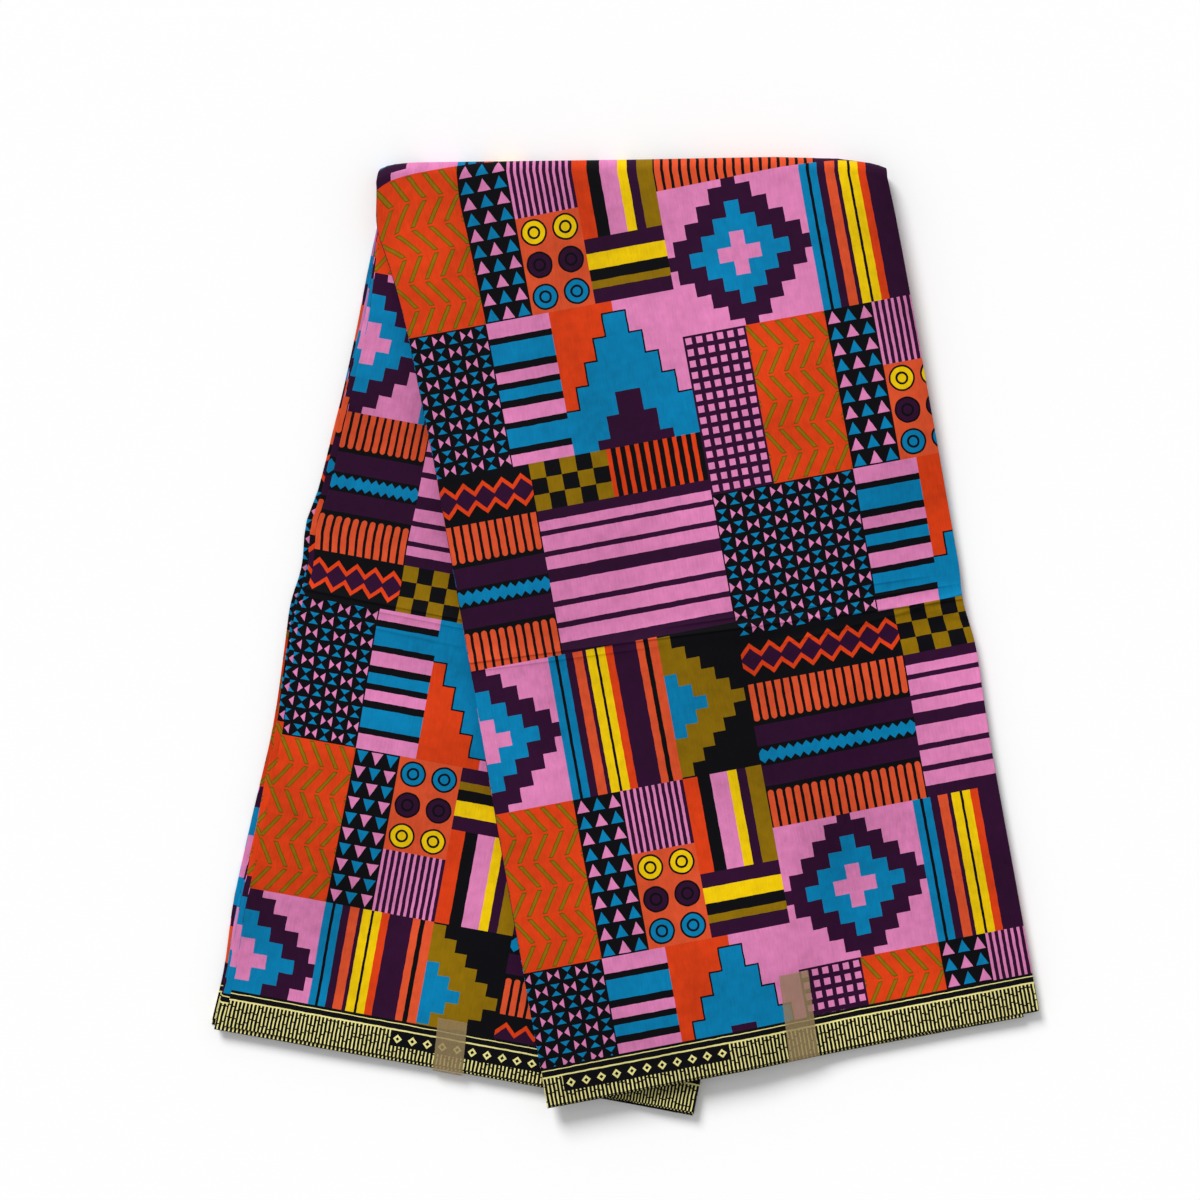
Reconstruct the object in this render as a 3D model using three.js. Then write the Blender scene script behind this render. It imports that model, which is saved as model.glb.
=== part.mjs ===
// A six-yard piece of wax print cloth, pleated lengthwise into a stack of leaves one leaf wide, then folded
// once over a fold line at the top. The front leg lies on the back leg, and the two legs spread like an
// upside-down V. Millimetres, +Z up. The cloth lies on z = 0, and +Y points at the fold.
import * as THREE from 'three';
import { mergeVertices } from 'three/addons/utils/BufferGeometryUtils.js';

// Driving sizes
const CLOTH_WIDTH = 1168; // selvedge to selvedge, which is the length of a leaf
const LEAF_WIDTH = 319;
const TILT = THREE.MathUtils.degToRad(10.4); // each leg's angle to the Y axis
const FRONT_LENGTH = 573.3; // from the middle of the fold line to the top leaf's selvedge

// Through the thickness. A leaf that shows is a wall. The hidden leaves are sheets in one solid.
const WALL = 1;
const GAP = 0.3;
const HIDDEN_SHEETS = 5;
const HIDDEN_SHEET = 1;
const SLIT = 0.2; // opening of the groove between two hidden sheets
const SLIT_DEPTH = 1.5;
const NOSE = 0.25; // how far a leaf's round edge stands past its faces

// Radii of the bend at the fold, measured from the middle between the legs
const INNER_LOW = GAP / 2;
const INNER_HIGH = INNER_LOW + WALL;
const HIDDEN_LOW = INNER_HIGH + GAP;
const HIDDEN_HIGH = HIDDEN_LOW + HIDDEN_SHEETS * HIDDEN_SHEET;
const OUTER_LOW = HIDDEN_HIGH + GAP;
const OUTER_HIGH = OUTER_LOW + WALL;
const MIDDLE_HEIGHT = OUTER_HIGH; // height of the plane between the legs
const BEND_STEPS = 6;

const HALF = LEAF_WIDTH / 2;
const BACK_LENGTH = CLOTH_WIDTH - FRONT_LENGTH - Math.PI * (HIDDEN_LOW + HIDDEN_HIGH) / 2;
const BACK_TAPER = 12; // how much narrower the back leg is at its selvedge, all on its right

// The front leg sinks to the ground to the right of the back leg.
const BRIDGE = 20; // stretch past the back leg's edge that stays up
const RAMP = 76;
const SINK = MIDDLE_HEIGHT + INNER_LOW;

// Pressed creases across the legs
const CREASE_HEIGHT = 1.2;
const CREASE_REACH = 9; // half the width of the ridge
const FRONT_CREASE = 296.5;
const BACK_CREASE = 300;

// Tapes over the selvedges, placed across and down their leg
const TAPE_WIDTH = 19;
const TAPE_THICKNESS = 0.5;
const TAPE_FOOT = 1; // height of the tape's lower end above the ground
const FRONT_TAPE = { left: -1.3, down: 519.5 };
const BACK_TAPE = { left: -23.2, down: 552 };

// The fold's crest, across the leaf: how far it stands above the straight fold line
const CREST = [
  { across: -160, rise: -3 },
  { across: -145, rise: 0 },
  { across: 0, rise: 1.8 },
  { across: 90, rise: 3.6 },
  { across: 130, rise: 2.6 },
  { across: 160, rise: -2.5 },
];
const CREST_FADE = 60; // distance from the fold line in which the rise dies away

// The legs' edges, down the leg: how far each stands outside half the leaf's width
const FRONT_EDGE = [
  { down: 0, left: 0.3, right: 0 },
  { down: 30, left: 5.2, right: 0.3 },
  { down: 60, left: 2.2, right: 0.6 },
  { down: 95, left: -0.2, right: 0.8 },
  { down: 160, left: -2, right: 1 },
  { down: 288, left: -1.2, right: 1 },
  { down: 305, left: -1, right: -0.8 },
  { down: 335, left: -0.4, right: 2.2 },
  { down: 400, left: 0.4, right: 0.2 },
  { down: 574, left: 1, right: 0 },
];
const BACK_EDGE = [
  { down: 0, left: 0, right: 0 },
  { down: 30, left: -7, right: -0.6 },
  { down: 62, left: -6.6, right: -1.3 },
  { down: 100, left: -6.1, right: -2.1 },
  { down: 150, left: -4.4, right: -3 },
  { down: 200, left: -2.5, right: -4 },
  { down: 260, left: 0.8, right: -5.3 },
  { down: 291, left: -0.5, right: -6 },
  { down: 309, left: 1.6, right: -6.4 },
  { down: 360, left: 0, right: -7.4 },
  { down: 420, left: -0.7, right: -8.6 },
  { down: 480, left: 0.8, right: -9.9 },
  { down: 545, left: 0.3, right: -11.2 },
  { down: 582, left: 1.8, right: -12 },
];

// The leaves from the inside of the fold to its outside. fan is the leaf's share of the spread along the back
// leg's left edge, jog how far its edges are drawn in, and front and back how far its ends reach.
const LEAVES = [
  { name: 'inner', fan: 0, jog: 0.6, front: 0.5, back: 0 },
  { name: 'sheet 1', fan: 0.18, jog: 1.3, front: 1.3, back: 0.9 },
  { name: 'sheet 2', fan: 0.42, jog: 0.8, front: 0.6, back: 2.4 },
  { name: 'sheet 3', fan: 0.55, jog: 1.5, front: 1.0, back: 1.5 },
  { name: 'sheet 4', fan: 0.9, jog: 1.0, front: 0.2, back: 3.2 },
  { name: 'sheet 5', fan: 0.78, jog: 0.7, front: 0.6, back: 2.1 },
  { name: 'outer', fan: 1, jog: 0, front: 0, back: 1.2 },
];
const FAN_AT_FOLD = 1.2;
const FAN_AT_SELVEDGE = 6.5;

// Columns of the cloth's mesh. They run in one group left of the hinge, which stays over the back leg's edge,
// and in a second one right of it, which has columns at the front tape's edges.
const FIRST_COLUMN = -140;
const LEFT_COLUMNS = 5;
const HINGE_AT_FOLD = 120;
const HINGE_AT_SELVEDGE = -30;
const RAMP_COLUMNS = [0.45, 0.71]; // right of the tape, as shares of the stretch from the hinge to the edge
const RIGHT_SHARES = [FRONT_TAPE.left, FRONT_TAPE.left + TAPE_WIDTH]
  .map((across) => (across - HINGE_AT_SELVEDGE) / (HALF - HINGE_AT_SELVEDGE))
  .concat(RAMP_COLUMNS);
const LAST_COLUMN = 1 + LEFT_COLUMNS + RIGHT_SHARES.length + 1;

// Rows of the cloth's mesh, down each leg from the fold line. slant is how much a row falls across the leaf,
// as a share of the fold line's own slant. Rows beside the fold follow it, and the selvedge runs straight
// across.
const FRONT_ROWS = [0, 30, 60, 95, 135, 175, 215, 255, FRONT_CREASE - CREASE_REACH, FRONT_CREASE,
  FRONT_CREASE + CREASE_REACH, 335, 365, 400, 440, 480, FRONT_TAPE.down, 546, FRONT_LENGTH];
const BACK_ROWS = [0, 30, 62, 100, 150, 200, 255, BACK_CREASE - CREASE_REACH, BACK_CREASE,
  BACK_CREASE + CREASE_REACH, 360, 420, 480, BACK_TAPE.down, BACK_LENGTH];
const FRONT_SLANT = [
  { down: 0, slant: 1 },
  { down: FRONT_CREASE, slant: 0.29 },
  { down: FRONT_TAPE.down, slant: 0 },
  { down: FRONT_LENGTH, slant: -0.05 },
];
const BACK_SLANT = [
  { down: 0, slant: 1 },
  { down: BACK_CREASE, slant: 0 },
  { down: BACK_LENGTH, slant: 0 },
];

const SIN = Math.sin(TILT);
const COS = Math.cos(TILT);
const TAN = Math.tan(TILT);
const smooth = (share) => THREE.MathUtils.smoothstep(share, 0, 1);

// A value from a table, read at a place between two of its rows
function read(table, key, place, column) {
  const next = table.findIndex((row) => row[key] >= place);
  if (next <= 0) return table[next === 0 ? 0 : table.length - 1][column];
  const a = table[next - 1];
  const b = table[next];
  return THREE.MathUtils.lerp(a[column], b[column], (place - a[key]) / (b[key] - a[key]));
}

// The flat place of a point on a leg: across the leaf, and down from the middle of the fold line. side is 1
// on the front leg and -1 on the back leg, which runs down to the left.
function onLeg(side, across, down) {
  return {
    x: across * COS + side * down * SIN,
    y: side * across * SIN - down * COS,
  };
}

// How far the front leg has sunk at a flat place
const backEdgeTop = onLeg(-1, HALF, -HALF * TAN);
const backEdgeEnd = onLeg(-1, HALF - BACK_TAPER, BACK_LENGTH);
const backEdge = new THREE.Vector2(backEdgeEnd.x - backEdgeTop.x, backEdgeEnd.y - backEdgeTop.y).normalize();
function sinkAt(x, y) {
  const past = (y - backEdgeTop.y) * backEdge.x - (x - backEdgeTop.x) * backEdge.y;
  return SINK * smooth((past - BRIDGE) / RAMP);
}

// Rows as { side, down, slant, crease } on a leg or { angle } round the bend
function legRow(side, down) {
  const front = side === 1;
  const crease = front ? FRONT_CREASE : BACK_CREASE;
  return {
    side,
    down,
    slant: side * TAN * read(front ? FRONT_SLANT : BACK_SLANT, 'down', down, 'slant'),
    crease: down === crease ? CREASE_HEIGHT : 0,
    end: down === (front ? FRONT_LENGTH : BACK_LENGTH),
  };
}

function bendRow(step) {
  return { side: 0, down: 0, angle: Math.PI * step / BEND_STEPS };
}

const ROWS = [
  ...FRONT_ROWS.toReversed().map((down) => legRow(1, down)),
  ...Array.from({ length: BEND_STEPS - 1 }, (_, i) => bendRow(i + 1)),
  ...BACK_ROWS.map((down) => legRow(-1, down)),
];

// A point of the cloth: on a row, across the leaf, at a bend radius. reach moves a leaf's end along its leg.
function clothPoint(row, across, radius, reach) {
  const crest = read(CREST, 'across', across, 'rise');
  if (row.side === 0) {
    return new THREE.Vector3(
      across / COS,
      radius * Math.sin(row.angle) + crest,
      MIDDLE_HEIGHT + radius * Math.cos(row.angle),
    );
  }
  const down = row.down + row.slant * across + (row.end ? reach : 0);
  const { x, y } = onLeg(row.side, across, down);
  const lift = row.crease * (row.side > 0 ? radius : OUTER_HIGH - radius) / OUTER_HIGH;
  const sink = row.side > 0 ? sinkAt(x, y) : 0;
  return new THREE.Vector3(
    x,
    y + crest * (1 - smooth(row.down / CREST_FADE)),
    MIDDLE_HEIGHT + row.side * radius + lift - sink,
  );
}

// The hinge column of the cloth's mesh: past the back leg's edge, where the front leg still stays up
function hingeAcross(row) {
  if (row.side <= 0) return HINGE_AT_FOLD - BACK_TAPER * row.down / BACK_LENGTH;
  if (row.down >= FRONT_TAPE.down) return HINGE_AT_SELVEDGE;
  const share = (row.down - HALF * TAN) / (BACK_LENGTH * COS);
  const backEdgeAcross = HALF - share * (BACK_LENGTH * Math.sin(2 * TILT) + BACK_TAPER);
  return Math.min(HINGE_AT_FOLD, backEdgeAcross + BRIDGE);
}

// The place across the leaf of a column at a row. The first and last columns are the leaf's own edges, less
// inset, and the others are shared by all leaves, so that the leaves' faces stay parallel.
function columnAcross(row, column, leaf, inset) {
  const edges = row.side < 0 ? BACK_EDGE : FRONT_EDGE;
  const share = row.side < 0 ? row.down / BACK_LENGTH : 0;
  const fan = row.side < 0 ? THREE.MathUtils.lerp(FAN_AT_FOLD, FAN_AT_SELVEDGE, share) : 0;
  if (column === 0) {
    return inset + leaf.jog - leaf.fan * fan - read(edges, 'down', row.down, 'left') - HALF;
  }
  if (column === LAST_COLUMN) {
    return HALF + read(edges, 'down', row.down, 'right') - leaf.jog - inset;
  }
  const hinge = hingeAcross(row);
  if (column <= 1 + LEFT_COLUMNS) {
    return THREE.MathUtils.lerp(FIRST_COLUMN, hinge, (column - 1) / LEFT_COLUMNS);
  }
  return THREE.MathUtils.lerp(hinge, HALF - BACK_TAPER * share, RIGHT_SHARES[column - 2 - LEFT_COLUMNS]);
}

// The closed skin of a block of points, which point(i, j, k) gives for i, j and k from 0 to the counts
function skin(countI, countJ, countK, point) {
  const positions = [];
  const grid = (rows, columns, at) => {
    for (let r = 0; r < rows; r += 1) {
      for (let c = 0; c < columns; c += 1) {
        const corners = [at(r, c), at(r, c + 1), at(r + 1, c + 1), at(r + 1, c)];
        for (const corner of [0, 2, 1, 0, 3, 2]) positions.push(...corners[corner].toArray());
      }
    }
  };
  grid(countK, countI, (k, i) => point(i, 0, k));
  grid(countI, countK, (i, k) => point(i, countJ, k));
  grid(countJ, countK, (j, k) => point(0, j, k));
  grid(countK, countJ, (k, j) => point(countI, j, k));
  grid(countI, countJ, (i, j) => point(i, j, 0));
  grid(countJ, countI, (j, i) => point(i, j, countK));
  const geometry = new THREE.BufferGeometry();
  geometry.setAttribute('position', new THREE.Float32BufferAttribute(positions, 3));
  return mergeVertices(geometry, 1e-3);
}

// A stack of levels as one solid. A level is { radius, leaf, inset }, from the inside of the bend outwards.
function stack(levels) {
  const point = (column, level, index) => {
    const { radius, leaf, inset } = levels[level];
    const row = ROWS[index];
    const reach = (row.side > 0 ? leaf.front : leaf.back) - inset;
    return clothPoint(row, columnAcross(row, column, leaf, inset), radius, reach);
  };
  return skin(LAST_COLUMN, levels.length - 1, ROWS.length - 1, point);
}

// One leaf as a wall with a rounded edge
function leafLevels(leaf, low, high) {
  return [
    { radius: low, leaf, inset: NOSE },
    { radius: (low + high) / 2, leaf, inset: 0 },
    { radius: high, leaf, inset: NOSE },
  ];
}

// The hidden sheets, with a groove between each two
function hiddenLevels() {
  const sheets = LEAVES.slice(1, -1);
  return sheets.flatMap((leaf, i) => {
    const low = HIDDEN_LOW + i * HIDDEN_SHEET;
    const high = low + HIDDEN_SHEET;
    const first = i === 0;
    const last = i === sheets.length - 1;
    return [
      { radius: first ? low : low + SLIT / 2, leaf, inset: first ? NOSE : 0 },
      { radius: last ? high : high - SLIT / 2, leaf, inset: last ? NOSE : 0 },
      ...(last ? [] : [{ radius: high, leaf, inset: SLIT_DEPTH }]),
    ];
  });
}

// A tape over a leg's selvedge: along the leg's top, over its end and down the ends of the leaves. Its faces
// are the cloth's own points, moved out. Its rows run the same way as the cloth's.
function tape(side, place) {
  const downs = side > 0 ? FRONT_ROWS : BACK_ROWS;
  const top = side > 0 ? OUTER_HIGH + GAP : INNER_LOW - GAP;
  const foot = side > 0 ? INNER_LOW + TAPE_FOOT : OUTER_HIGH - TAPE_FOOT;
  const reach = GAP + Math.max(...LEAVES.map((leaf) => (side > 0 ? leaf.front : leaf.back)));
  const lying = downs.filter((down) => down >= place.down).map((down) => ({ row: legRow(side, down) }));
  const path = [...lying, { row: lying.at(-1).row, radius: foot }];
  if (side > 0) path.reverse();
  return skin(1, 1, path.length - 1, (column, level, index) => {
    const away = TAPE_THICKNESS * (side > 0 ? level : 1 - level);
    const { row, radius = top + side * away } = path[index];
    return clothPoint(row, place.left + TAPE_WIDTH * column, radius, reach + away);
  });
}

const CLOTH = { roughness: 0.75, metalness: 0 };
const TAPE = { color: 0x9a7f55, roughness: 0.4, metalness: 0 };

function piece(name, geometry, look) {
  const mesh = new THREE.Mesh(geometry, new THREE.MeshStandardMaterial(look));
  mesh.name = name;
  return mesh;
}

const part = new THREE.Group();
part.add(
  piece('outer_leaf', stack(leafLevels(LEAVES.at(-1), OUTER_LOW, OUTER_HIGH)), { ...CLOTH, color: 0xb0486b }),
  piece('hidden_leaves', stack(hiddenLevels()), { ...CLOTH, color: 0x6f4a24 }),
  piece('inner_leaf', stack(leafLevels(LEAVES[0], INNER_LOW, INNER_HIGH)), { ...CLOTH, color: 0x2f6f8f }),
  piece('tape_front', tape(1, FRONT_TAPE), TAPE),
  piece('tape_back', tape(-1, BACK_TAPE), TAPE),
);

// The origin is on the ground, under the middle of the whole piece.
const middle = new THREE.Box3().setFromObject(part).getCenter(new THREE.Vector3());
part.position.set(-middle.x, -middle.y, 0);

export default part;
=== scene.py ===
"""A six-yard piece of wax print cloth, pleated lengthwise into a stack of seventeen leaves and folded once,
so that its front leg lies on its back leg. Sizes are in millimetres until a mesh is made."""

import math

import bmesh
import bpy
import numpy as np
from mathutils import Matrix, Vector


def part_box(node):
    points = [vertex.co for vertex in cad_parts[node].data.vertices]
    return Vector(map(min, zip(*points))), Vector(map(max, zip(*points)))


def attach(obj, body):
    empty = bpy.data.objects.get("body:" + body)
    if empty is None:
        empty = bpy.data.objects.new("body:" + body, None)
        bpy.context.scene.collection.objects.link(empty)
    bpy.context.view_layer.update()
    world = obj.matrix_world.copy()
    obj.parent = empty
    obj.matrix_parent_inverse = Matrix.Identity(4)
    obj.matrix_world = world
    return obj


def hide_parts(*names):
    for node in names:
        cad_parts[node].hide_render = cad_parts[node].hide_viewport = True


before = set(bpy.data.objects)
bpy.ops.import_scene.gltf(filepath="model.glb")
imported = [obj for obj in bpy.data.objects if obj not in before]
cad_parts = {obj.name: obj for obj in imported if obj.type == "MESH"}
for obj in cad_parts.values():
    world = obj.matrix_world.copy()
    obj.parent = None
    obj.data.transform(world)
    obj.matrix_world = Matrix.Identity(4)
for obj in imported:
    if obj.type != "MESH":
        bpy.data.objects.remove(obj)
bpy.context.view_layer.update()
MM = 0.001

# ---- Camera: straight above the piece ----

CAMERA_OVER = (-15.3, 23.9)
CAMERA_HEIGHT = 2015
VIEW_WIDTH = 763.8  # of the picture, at the height of the cloth's top
TOP_HEIGHT = 15


def make_camera():
    data = bpy.data.cameras.new("camera")
    data.sensor_width = 36
    data.lens = data.sensor_width * (CAMERA_HEIGHT - TOP_HEIGHT) / VIEW_WIDTH
    camera = bpy.data.objects.new("camera", data)
    camera.location = (CAMERA_OVER[0] * MM, CAMERA_OVER[1] * MM, CAMERA_HEIGHT * MM)
    bpy.context.scene.collection.objects.link(camera)
    bpy.context.scene.camera = camera


make_camera()

# ---- The cloth's sizes, as in the part's source ----

CLOTH_WIDTH = 1168  # selvedge to selvedge, which is the length of a leaf
LEAF_WIDTH = 319
LEAVES = 17
TILT = math.radians(10.4)  # each leg's angle to the Y axis
FRONT_LENGTH = 573.3
BEND_LOW, BEND_HIGH = 0.15, 7.75  # radii of the bend's innermost and outermost face
BACK_LENGTH = CLOTH_WIDTH - FRONT_LENGTH - math.pi * (BEND_LOW + BEND_HIGH) / 2
BACK_TAPER = 12
BRIDGE, RAMP = 20, 76  # beside the back leg, the front leg stays up, then comes down to the ground
FRONT_SLANT = -0.05  # the front selvedge's slant, as a share of the fold line's

HALF = LEAF_WIDTH / 2
SIN, COS, TAN = math.sin(TILT), math.cos(TILT), math.tan(TILT)
MIDDLE_HEIGHT = BEND_HIGH
PITCH = (BEND_HIGH - BEND_LOW) / LEAVES
CLOTH_THICKNESS = 0.34

# The fold's crest, across the leaf
CREST = [
    {"across": -160, "rise": -6.5},
    {"across": -156, "rise": -3},
    {"across": -150, "rise": -1.2},
    {"across": -138, "rise": 0},
    {"across": 0, "rise": 1.8},
    {"across": 90, "rise": 3.6},
    {"across": 130, "rise": 2.6},
    {"across": 150, "rise": -0.4},
    {"across": 156, "rise": -2.4},
    {"across": 160, "rise": -5.5},
]
CREST_TOP = 3.16
CREST_FADE = 60

# How far the outermost edge stands outside half the leaf's width, down each leg
FRONT_EDGE = [
    {"down": -30, "left": 0.3, "right": 0},
    {"down": -2, "left": 6.2, "right": 0},
    {"down": 20, "left": 3.2, "right": 0.1},
    {"down": 50, "left": 1.2, "right": 0.5},
    {"down": 80, "left": -0.5, "right": 0.7},
    {"down": 160, "left": -2, "right": 1},
    {"down": 288, "left": -1.2, "right": 1},
    {"down": 305, "left": -1, "right": -1.2},
    {"down": 335, "left": -0.4, "right": 2.4},
    {"down": 400, "left": 0.4, "right": 0.2},
    {"down": 574, "left": 1, "right": 0},
]
BACK_EDGE = [
    {"down": 0, "left": 0, "right": 0},
    {"down": 55, "left": -5.6, "right": -1.1},
    {"down": 125, "left": -3.9, "right": -2.6},
    {"down": 196, "left": -0.2, "right": -4},
    {"down": 240, "left": 2, "right": -4.9},
    {"down": 254, "left": 6, "right": -5.2},
    {"down": 285, "left": 2.2, "right": -5.8},
    {"down": 308, "left": 6.2, "right": -6.3},
    {"down": 390, "left": 3.4, "right": -8},
    {"down": 470, "left": 5.9, "right": -9.7},
    {"down": 507, "left": 7.6, "right": -10.4},
    {"down": 546, "left": 6.2, "right": -11.2},
    {"down": 582, "left": 8.3, "right": -12},
]

# How far the top leaf's left edge lies inside the outermost one, down the back leg
SPREAD = [
    {"down": 0, "in": 1},
    {"down": 70, "in": 2.4},
    {"down": 120, "in": 6.6},
    {"down": 400, "in": 7.6},
    {"down": 582, "in": 9},
]

# The edges of the pleats, from the outside of the bend to its inside: how much of the spread each is drawn
# in, and how far its ends reach past the outermost leaf's. Even ones are at the left. The first and last are
# cut edges.
PLEATS = [
    {"in": 0.05, "front": 0, "back": 1.2},
    {"in": 0, "front": 0.3, "back": 2.2},
    {"in": 0.13, "front": -3, "back": -1.8},
    {"in": 8, "front": 2.8, "back": 3},
    {"in": 0, "front": 1.3, "back": -2.6},
    {"in": 0.1, "front": 0.8, "back": 1.4},
    {"in": 0.4, "front": 0.2, "back": 1.9},
    {"in": 0.5, "front": 1.2, "back": 2.7},
    {"in": 0.44, "front": 0.6, "back": -2},
    {"in": 0.2, "front": 0.1, "back": 0.8},
    {"in": 0.52, "front": 1.1, "back": 2.4},
    {"in": 0.7, "front": 0.4, "back": 1.7},
    {"in": 0.38, "front": 0.9, "back": 2.8},
    {"in": 0.4, "front": 1.3, "back": 0.6},
    {"in": 0.47, "front": 0.3, "back": 3.1},
    {"in": 0.8, "front": 1, "back": 1.1},
    {"in": 1, "front": 0.5, "back": 0},
    {"in": 0.2, "front": 0.4, "back": 0},
]
PLEAT_JOG = 1.3  # how far the hidden pleats are drawn in where the stack is neat
PLEAT_WANDER = 0.7  # how far the hidden pleats wander at the back leg's left
EDGES_REACH = 70  # how far from a leg's middle its cloth starts to follow the edges

# Creases across a leg, 1 for the front one and -1 for the back one: where each crosses the middle of the
# leaf, how it falls across it, its stretch, how far it rises, and how far its slopes reach, towards the fold
# and towards the selvedge. Sharp ones are in a leaf that shows, and rolls go through the whole leg.
SHARP_CREASES = [
    {"leg": 1, "down": 296.5, "fall": 0.053, "from": -190, "to": 190, "rise": 1, "above": 4, "below": 0.55},
    {"leg": 1, "down": 301.5, "fall": 0.05, "from": -190, "to": -30, "rise": 0.5, "above": 2, "below": 0.6},
    {"leg": 1, "down": 289.5, "fall": 0.035, "from": -40, "to": 165, "rise": 0.8, "above": 2.5, "below": 0.6},
    {"leg": 1, "down": 314, "fall": -0.06, "from": 20, "to": 150, "rise": 0.7, "above": 3, "below": 0.6},
    {"leg": 1, "down": 281, "fall": 0.04, "from": 60, "to": 150, "rise": 0.5, "above": 2, "below": 0.6},
    {"leg": 1, "down": 327, "fall": 0.02, "from": 70, "to": 190, "rise": 0.5, "above": 3, "below": 0.7},
    {"leg": 1, "down": 320.4, "fall": -0.12, "from": 105, "to": 190, "rise": 1, "above": 2.2, "below": 0.9},
    {"leg": 1, "down": 256.2, "fall": 0.38, "from": 100, "to": 190, "rise": 1.1, "above": 3, "below": 1.4},
    {"leg": -1, "down": 300, "fall": 0.01, "from": -210, "to": 190, "rise": 1, "above": 4, "below": 0.55},
    {"leg": -1, "down": 306, "fall": 0.02, "from": -210, "to": 0, "rise": 0.5, "above": 2, "below": 0.7},
    {"leg": -1, "down": 318, "fall": 0.03, "from": -210, "to": -40, "rise": 0.6, "above": 3, "below": 0.7},
]
ROLLS = [
    {"leg": 1, "down": 298, "fall": 0.053, "from": -190, "to": 190, "rise": 0.8, "above": 6, "below": 6},
    {"leg": 1, "down": 286, "fall": 0.05, "from": -190, "to": 120, "rise": -0.5, "above": 6, "below": 6},
    {"leg": 1, "down": 318, "fall": -0.05, "from": 10, "to": 170, "rise": 0.6, "above": 6, "below": 5},
    {"leg": -1, "down": 302, "fall": 0.01, "from": -210, "to": 190, "rise": 0.8, "above": 6, "below": 6},
]
CREASE_FADE = 30  # the length of a crease's ends
WAVES_FADE = 60  # the cloth's waves set in so far from the fold line
COVER_FADE = 15  # the back leg's creases end so far under the front leg's left edge

# The middle of the fold line
OUTER_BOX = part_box("outer_leaf")
FOLD_Y = OUTER_BOX[1][1] / MM - BEND_HIGH - CREST_TOP
FOLD_X = OUTER_BOX[1][0] / MM - HALF * COS - (FRONT_LENGTH + FRONT_SLANT * TAN * HALF) * SIN


# ---- Where the cloth lies ----


def read(table, key, column, at, rounding=8):
    """A table's column at places between its rows, with its corners rounded over."""
    places = [row[key] for row in table]
    values = [row[column] for row in table]
    return sum(np.interp(at + rounding * aside, places, values) for aside in (-1, -0.5, 0, 0.5, 1)) / 5


def pleat(column, at):
    return np.interp(at, range(len(PLEATS)), [row[column] for row in PLEATS])


def smooth(share):
    share = np.clip(share, 0, 1)
    return share * share * (3 - 2 * share)


def on_leg(side, across, down):
    return across * COS + side * down * SIN, side * across * SIN - down * COS


def sink(x, y):
    """How far the front leg has come down at a flat place beside the back leg."""
    top_x, top_y = on_leg(-1, HALF, -HALF * TAN)
    end_x, end_y = on_leg(-1, HALF - BACK_TAPER, BACK_LENGTH)
    length = math.hypot(end_x - top_x, end_y - top_y)
    past = ((y - top_y) * (end_x - top_x) - (x - top_x) * (end_y - top_y)) / length
    return (MIDDLE_HEIGHT + BEND_LOW) * smooth((past - BRIDGE) / RAMP)


def edges(side, down, left, right):
    """How far a leg's left and right edges stand outside half the leaf's width, at those two pleats."""
    table = FRONT_EDGE if side > 0 else BACK_EDGE
    out_left, out_right = (read(table, "down", edge, down) for edge in ("left", "right"))
    if side > 0:
        out_left = out_left - pleat("in", left) * PLEAT_JOG * (left > 0)
    else:
        wander = PLEAT_WANDER * np.sin(down / 31 + 2.1 * left) * (left > 0) * (left < LEAVES - 1)
        out_left = out_left - pleat("in", left) * read(SPREAD, "down", "in", down) - wander
    return np.stack([out_left, out_right - pleat("in", right) * PLEAT_JOG])


def edge_shift(across, up, radius, left, right):
    """How far the cloth moves sideways, so that its edges are where their pleats are."""
    turned = smooth((across * SIN - up * COS) / (math.pi * radius))
    front = edges(1, up, left, right)
    back = edges(-1, -up - radius * math.pi / COS, left, right)
    out_left, out_right = front + (back - front) * turned
    near_right = smooth((across - EDGES_REACH) / (HALF - EDGES_REACH))
    near_left = smooth((-across - EDGES_REACH) / (HALF - EDGES_REACH))
    return out_right * near_right - out_left * near_left


def ridges(table, form, across, side, down):
    """The height of the creases of a table. Their form is 1 for a sharp crest and 2 for a round one."""
    total = np.zeros(np.broadcast(across, down).shape)
    for row in table:
        off = down - row["down"] - row["fall"] * across
        near = np.exp(-np.abs(off / np.where(off < 0, row["above"], row["below"])) ** form)
        ends = smooth((across - row["from"]) / CREASE_FADE) * smooth((row["to"] - across) / CREASE_FADE)
        total += (side == row["leg"]) * row["rise"] * near * ends
    return total


def waves(across, down):
    """The faint unevenness of cloth that has been folded and opened again."""
    return (
        0.34 * np.sin(across / 19 + 1.3 * np.sin(down / 61)) * np.sin(down / 31 + 0.8)
        + 0.26 * np.sin(across / 37 - down / 23)
        + 0.14 * np.sin(down / 11 + across / 70)
    )


def covered(x, y):
    """0 at a flat place to the left of the front leg, and 1 well inside its left edge."""
    front_across = x * COS + y * SIN
    return smooth((front_across + HALF) / COVER_FADE)


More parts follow.
